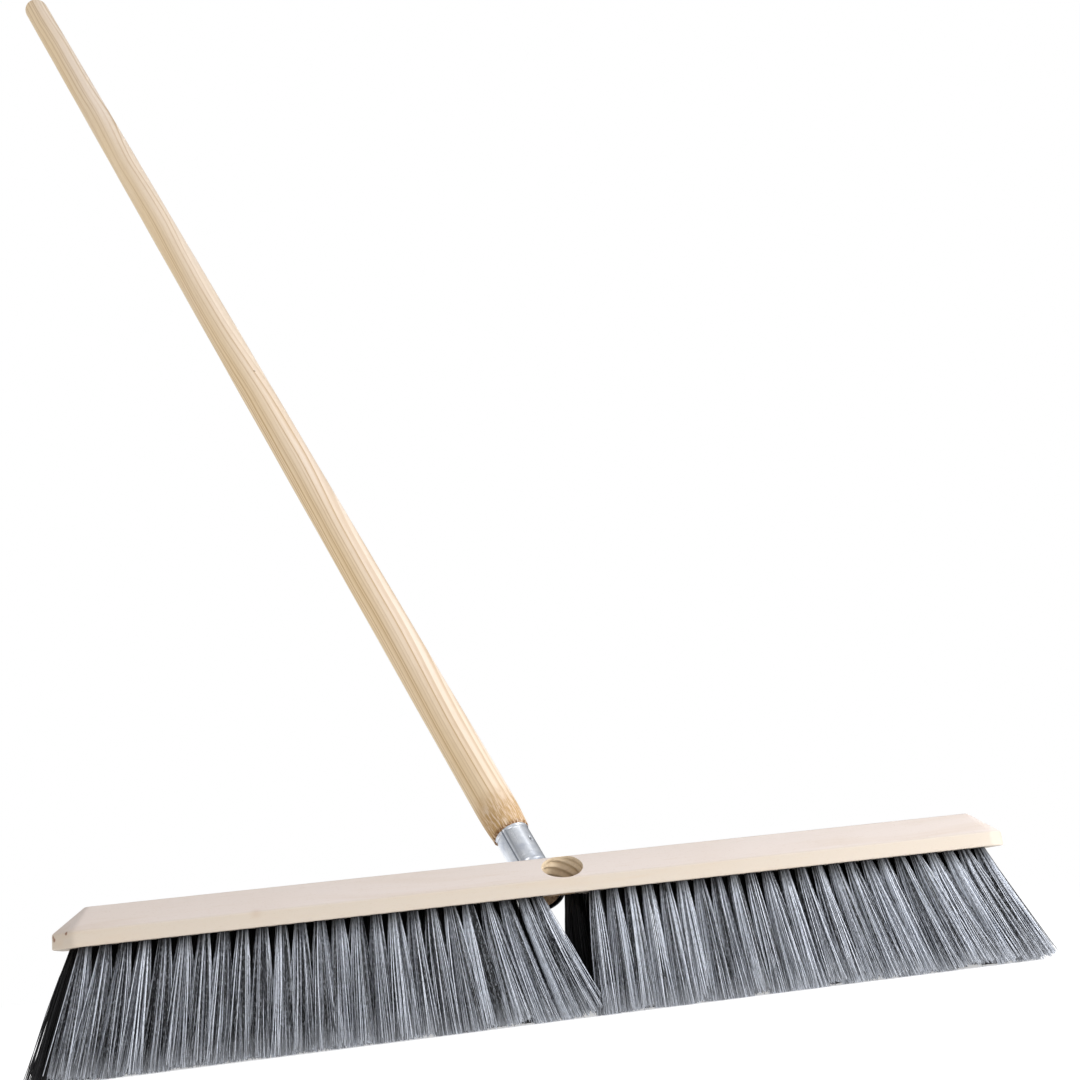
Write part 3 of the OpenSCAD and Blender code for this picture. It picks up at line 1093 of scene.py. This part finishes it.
@dataclass
class TuftRow:
    """Half a row of tufts, each a spray of separate filaments."""

    name: str
    row: int
    side: Side
    fibre: Fibre
    per_tuft: int
    first: float = 13.0 * MM
    first_far: float = 22.3 * MM
    pitch: float = 11.3 * MM
    row_pitch: float = 13.5 * MM
    row_lean: float = 6.25 * MM
    count_near: int = 25
    count_far: int = 24
    root_radius: float = 3.1 * MM
    spread_x: float = 7.6 * MM
    spread_y: float = 6.4 * MM
    length: float = 74.3 * MM
    thickness: float = 0.40 * MM
    thinning: float = 0.35
    unfold: float = 1.12
    nudge: float = 0.0
    rings: int = 5
    root_depth: float = 2.5 * MM
    floor_gap: float = 0.15 * MM
    stray_from: float = 0.975
    short_from: float = 0.86
    flare_spread: float = 0.10
    tip_scatter: float = 0.9 * MM
    lean_scatter: float = 0.5 * MM
    tuft_trim: float = 1.2 * MM
    strand_trim: float = 0.9 * MM
    bow: float = 0.55 * MM
    # How much paler the grey filaments are painted towards +X: painted light.
    painted_light_to_right: float = 0.30

    def roots(self) -> np.ndarray:
        """Returns the tufts' places along X, from the gap outwards."""
        near = self.row * self.side.value > 0
        shift = self.pitch / 2 if abs(self.row) == 1 else 0.0
        start = (self.first if near else self.first_far) + shift
        count = self.count_near if near else self.count_far
        if self.row == 0:
            start, count = (self.first + self.first_far) / 2, self.count_near
        return self.side.value * (start + self.pitch * np.arange(count))

    def lean(self, share: np.ndarray) -> np.ndarray:
        """Sideways lean of the tufts at the floor, as the tips fan out.

        On the left the lean falls from a strong inward one beside the gap to an
        outward one at the end: 8 - 21 p, plus a bell of 16 about p = 0, 0.14 wide,
        in the front row, and 4 - 25 p in the others. On the right it grows
        outwards as -2 + 29 p ** 1.6, with 22 for 29 in the inner rows, and with 5
        more at the very start of the back row.

        Args:
            share: Place p in the half row, 0 at the gap and 1 at the end.

        Returns:
            Leans along X, of the shape of share.
        """
        if self.side is Side.LEFT:
            if self.row > -2:
                return (4.0 - 25.0 * share) * MM
            return (8.0 - 21.0 * share + 16.0 * np.exp(-((share / 0.14) ** 2))) * MM
        inner = 5.0 * np.exp(-share / 0.06) if self.row == 2 else 0.0
        outer = 29.0 if abs(self.row) == 2 else 22.0
        return (-2.0 + inner + outer * share ** 1.6) * MM

    def build(self, base_z: float, finish: bpy.types.Material) -> bpy.types.Object:
        """Builds and dresses the half row.

        A filament's middle line goes from its root in the hole's disc to its tip.
        The tuft's lean grows as v ** unfold, the filament's own way out from the
        tuft's middle as v ** 0.85, and it drops evenly in z, with a small
        sideways bow of sin(pi v). Its length is the trim length drawn out by most
        of the tuft's lean. Three corners are carried along the line and both ends
        are closed. The mix of shades is a little paler towards +X, as painted light.

        Args:
            base_z: Height of the block's underside.
            finish: The filaments' material.

        Returns:
            The finished half row.
        """
        dice = np.random.default_rng(101 + 10 * self.row + self.side.value)
        roots = self.roots()
        roots[0] += self.nudge
        tufts, each = len(roots), self.per_tuft
        share = np.arange(tufts) / (tufts - 1)
        total = tufts * each
        angle = dice.uniform(0, TURN, (tufts, each))
        ring = np.sqrt(dice.uniform(0, 1, (tufts, each)))
        wild = 1 + 0.45 * (dice.uniform(0, 1, (tufts, each)) > self.stray_from)
        flare = (1 + dice.normal(0, self.flare_spread, (tufts, 1))) * wild
        start_x = roots[:, None] + self.root_radius * ring * np.cos(angle)
        start_y = self.row * self.row_pitch + self.root_radius * ring * np.sin(angle)
        jitter = dice.normal(0, self.tip_scatter, (2, tufts, each))
        tuft_lean = self.lean(share) + dice.normal(0, self.lean_scatter, tufts)
        wide = self.spread_x * np.abs(np.gradient(roots + self.lean(share)))[:, None] / self.pitch
        tip_x = (roots + tuft_lean)[:, None] + wide * flare * ring * np.cos(angle) + jitter[0]
        tip_y = self.row * (self.row_pitch + self.row_lean) \
            + self.spread_y * flare * ring * np.sin(angle) + jitter[1]
        trimmed = np.hypot(self.length, 0.85 * tuft_lean)[:, None]
        reach = trimmed + dice.normal(0, self.tuft_trim, (tufts, 1)) \
            + dice.normal(0, self.strand_trim, (tufts, each))
        reach -= dice.uniform(1 * MM, 6 * MM, (tufts, each)) \
            * (dice.uniform(0, 1, (tufts, each)) > self.short_from)
        aside = np.hypot(tip_x - start_x, tip_y - start_y)
        tip_z = np.maximum(base_z - np.sqrt(reach ** 2 - aside ** 2), self.floor_gap)
        start_z = np.full_like(start_x, base_z + self.root_depth)
        start = np.stack([start_x, start_y, start_z], -1).reshape(total, 1, 3)
        tip = np.stack([tip_x, tip_y, tip_z], -1).reshape(total, 1, 3)
        v = np.linspace(0, 1, self.rings)[None, :, None]
        lean_x = np.repeat(tuft_lean, each)
        lean = np.stack([lean_x, np.full(total, self.row * self.row_lean), np.zeros(total)], -1)[:, None]
        outward = np.concatenate([v ** 0.85, v ** 0.85, v], axis=-1)
        line = start + lean * v ** self.unfold + (tip - start - lean) * outward
        bow = dice.normal(0, self.bow, (total, 1, 2)) * np.sin(math.pi * v)
        line[..., :2] += bow
        twist = dice.uniform(0, TURN, (total, 1, 1)) + TURN / 3 * np.arange(3)
        width = self.thickness * (1 - self.thinning * v)
        corner = np.stack([np.cos(twist), np.sin(twist), np.zeros_like(twist)], -1)
        points = line[:, :, None] + width[..., None] * corner
        lock = np.floor(angle / TURN * 7 + 3 * ring)
        clump = np.sin(lock * 12.9898 + np.arange(tufts)[:, None] * 78.233) * 43758.5453 % 1.0
        # The filaments' shade mix is painted paler towards +X: painted light, from the key light on the
        # right.
        painted_light = self.painted_light_to_right * roots[:, None]
        shade = np.clip(0.76 * dice.uniform(0, 1, (tufts, each)) + 0.24 * clump + painted_light, 0, 1)
        return self._lay(points, shade.ravel(), finish)

    def _lay(self, points: np.ndarray, shade: np.ndarray,
             finish: bpy.types.Material) -> bpy.types.Object:
        """Joins the filaments' corners into one mesh.

        Args:
            points: Corners, shape (filaments, rings, 3, 3).
            shade: Each filament's shade, 0 to 1.
            finish: The filaments' material.

        Returns:
            The finished half row.
        """
        total, rings = points.shape[:2]
        quads = grid_quads(rings, 3, wrap=True)[None] + 3 * rings * np.arange(total)[:, None, None]
        root_cap = np.array([0, 2, 1])[None] + 3 * rings * np.arange(total)[:, None]
        tip_cap = np.array([0, 1, 2])[None] + 3 * (rings - 1) + 3 * rings * np.arange(total)[:, None]
        run = (np.arange(3 * rings) // 3) / (rings - 1)
        faces = [quads.reshape(-1, 4)[:, ::-1], root_cap[:, ::-1], tip_cap[:, ::-1]]
        strand = [
            np.stack([shade[f // (3 * rings)], run[f % (3 * rings)]], axis=-1) for f in faces
        ]
        piece = lay_mesh(f"filaments_{self.name}", points.reshape(-1, 3), faces, strand)
        piece.data.materials.append(finish)
        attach(piece, "head")
        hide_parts(f"tufts_{self.name}")
        return piece


@dataclass
class Bristles:
    """All five rows of tufts, grey at the front and back and black inside."""

    rows: tuple = (("front", -2), ("inner_front", -1), ("middle", 0), ("inner_back", 1), ("back", 2))
    nudges: tuple = (("front_left", -2.5 * MM), ("middle_right", -5.0 * MM), ("back_right", 5.0 * MM))
    grey_count: int = 190
    black_count: int = 150
    black_root: float = 4.3 * MM
    black_thickness: float = 0.38 * MM
    black_unfold: float = 0.95
    black_shorter: float = 0.8 * MM

    def build(self) -> list[bpy.types.Object]:
        """Builds every half row.

        Returns:
            The half rows, from front to back.
        """
        base_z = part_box("block")[0].z
        finishes = {kind: Filament.of(kind).make(f"filament_{kind.value}") for kind in Fibre}
        made = []
        for word, row in self.rows:
            for side in Side:
                kind = Fibre.GREY if abs(row) == 2 else Fibre.BLACK
                count = self.grey_count if kind is Fibre.GREY else self.black_count
                half = TuftRow(f"{word}_{side.name.lower()}", row, side, kind, count)
                if kind is Fibre.BLACK:
                    half.root_radius, half.unfold = self.black_root, self.black_unfold
                    half.thickness = self.black_thickness
                    half.length -= self.black_shorter
                half.nudge = dict(self.nudges).get(half.name, 0.0)
                made.append(half.build(base_z, finishes[kind]))
        return made


@dataclass
class Staples:
    """The wire staples inside the block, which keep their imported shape."""

    prefix: str = "staples_"

    def dress(self) -> list[bpy.types.Object]:
        """Gives every staple node its finish.

        Returns:
            The staple nodes.
        """
        wire = StapleWire().make("staple_wire")
        nodes = [node for name, node in frame["nodes"].items() if name.startswith(self.prefix)]
        for node in nodes:
            node.data.materials.clear()
            node.data.materials.append(wire)
        return nodes


@dataclass(frozen=True)
class Lamp:
    """One square soft light aimed at a point."""

    name: str
    place: tuple
    target: tuple
    size: float
    watts: float

    def hang(self) -> None:
        """Adds the light to the scene."""
        data = bpy.data.lights.new(self.name, "AREA")
        data.shape, data.size, data.energy = "SQUARE", self.size, self.watts
        lamp = bpy.data.objects.new(self.name, data)
        lamp.location = self.place
        beam = Vector(self.target) - Vector(self.place)
        lamp.rotation_euler = beam.to_track_quat("-Z", "Y").to_euler()
        bpy.context.scene.collection.objects.link(lamp)


@dataclass
class Studio:
    """Pale floor, white air, soft lights and the camera."""

    eye: tuple = (-0.16827, -0.94531, 0.04728)
    heading: float = 11.217
    pitch: float = 15.314
    roll: float = -6.679
    lens: float = 48.49
    sensor: float = 36.0
    floor_tone: tuple = (0.93, 0.93, 0.93)
    floor_speck: tuple = (0.90, 0.90, 0.90)
    floor_glow: float = 0.55
    floor_reach: float = 30.0
    floor_drop: float = 0.2 * MM
    air_colour: tuple = (0.985, 0.99, 1.0, 1.0)
    air_base: float = 0.27
    right_glow: float = 0.40
    right_way: tuple = (0.66, -0.45, 0.60)
    left_glow: float = 0.34
    left_way: tuple = (-0.93, 0.36, 0.08)
    lamps: tuple = (
        Lamp("key", (1.22, -0.80, 0.28), (0.26, 0.0, 0.03), 0.50, 13.5),
        Lamp("top", (0.6, 0.2, 2.6), (0.0, 0.2, 0.2), 1.6, 6.0),
        Lamp("fill", (-0.6, -1.8, 1.5), (-0.2, 0.4, 0.7), 0.9, 5.0),
    )

    def camera(self) -> None:
        """Makes the camera, level turn by heading, then up by pitch and rolled."""
        data = bpy.data.cameras.new("camera")
        data.lens, data.sensor_width = self.lens, self.sensor
        data.clip_start, data.clip_end = 0.01, 100.0
        camera = bpy.data.objects.new("camera", data)
        bpy.context.scene.collection.objects.link(camera)
        turn = Matrix.Rotation(math.radians(-self.heading), 4, "Z")
        tilt = Matrix.Rotation(math.radians(90.0 + self.pitch), 4, "X")
        spin = Matrix.Rotation(math.radians(self.roll), 4, "Z")
        camera.matrix_world = Matrix.Translation(self.eye) @ turn @ tilt @ spin
        bpy.context.scene.camera = camera

    def floor(self) -> bpy.types.Object:
        """Builds the floor: a wide level sheet, just under the bristles.

        Returns:
            The floor.
        """
        span = np.linspace(-self.floor_reach, self.floor_reach, 25)
        x, y = np.meshgrid(span, span, indexing="ij")
        points = np.stack([x, y, np.full_like(x, -self.floor_drop)], axis=-1)
        sheet = lay_mesh("floor", points.reshape(-1, 3), [grid_quads(25, 25, wrap=False)])
        close_up(sheet)
        paint = Paint("floor_paint")
        speck = paint.noise(paint.place, 3.0, 2.0)
        tone = paint.blend(speck * 0.05, self.floor_tone, self.floor_speck)
        glow = {"Emission_Color": (1.0, 1.0, 1.0, 1.0), "Emission_Strength": self.floor_glow}
        sheet.data.materials.append(paint.finish(Base_Color=tone, Roughness=0.8, **glow))
        return sheet

    def air(self) -> None:
        """Makes the world: white behind the object, with a soft directional light.

        Its strength as light is a base, plus a glow towards the right and above
        and a weaker one from behind on the left.
        """
        world = bpy.data.worlds.new("studio_air")
        world.use_nodes = True
        shop = NodeShop(world.node_tree)
        right = shop.vector("DOT_PRODUCT", shop.place, self.right_way, output="Value")
        left = shop.vector("DOT_PRODUCT", shop.place, self.left_way, output="Value")
        strength = self.air_base + right.ramp(0.05, 0.95) * self.right_glow \
            + left.ramp(0.30, 0.95) * self.left_glow
        light = shop.add("ShaderNodeBackground", {}, {"Strength": strength})
        plain = shop.add("ShaderNodeBackground", {}, {"Strength": 1.0, "Color": (1, 1, 1, 1)})
        light.inputs["Color"].default_value = self.air_colour
        seen = shop.add("ShaderNodeLightPath", {}, {}).outputs["Is Camera Ray"]
        both = shop.add("ShaderNodeMixShader", {}, {
            0: Signal(shop, seen), 1: Signal(shop, light.outputs[0]), 2: Signal(shop, plain.outputs[0])})
        shop.add("ShaderNodeOutputWorld", {}, {0: Signal(shop, both.outputs[0])})
        bpy.context.scene.world = world

    def build(self) -> None:
        """Sets up the whole studio."""
        self.camera()
        self.floor()
        for lamp in self.lamps:
            lamp.hang()
        self.air()
        bpy.context.scene.view_settings.view_transform = "Standard"


def mount(name: str) -> dict:
    """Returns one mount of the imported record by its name."""
    return next(m for m in frame["record"]["mounts"] if m["name"] == name)


def handle_shaft() -> Shaft:
    """Returns the handle's frame, from the middle of its round shaft."""
    grip = mount("grip")
    axis = Vector(grip["axis"]).normalized()
    return Shaft(Vector(grip["pos_m"]) - axis * GRIP_FROM_TIP, axis)


def report(pieces: Sequence[bpy.types.Object]) -> None:
    """Logs each piece's name and number of faces.

    Args:
        pieces: The pieces just built.
    """
    for piece in pieces:
        LOG.info("%s: %d faces", piece.name, len(piece.data.polygons))


def main() -> None:
    """Builds every sub-assembly in order and logs each piece's number of faces."""
    logging.basicConfig(level=logging.INFO, format="%(name)s: %(message)s")
    shaft = handle_shaft()
    report([Block().build()])
    report([Stick().build(shaft), Ferrule().build(shaft)])
    report(Bristles().build())
    report(Staples().dress())
    Studio().build()


if __name__ == "__main__":
    main()
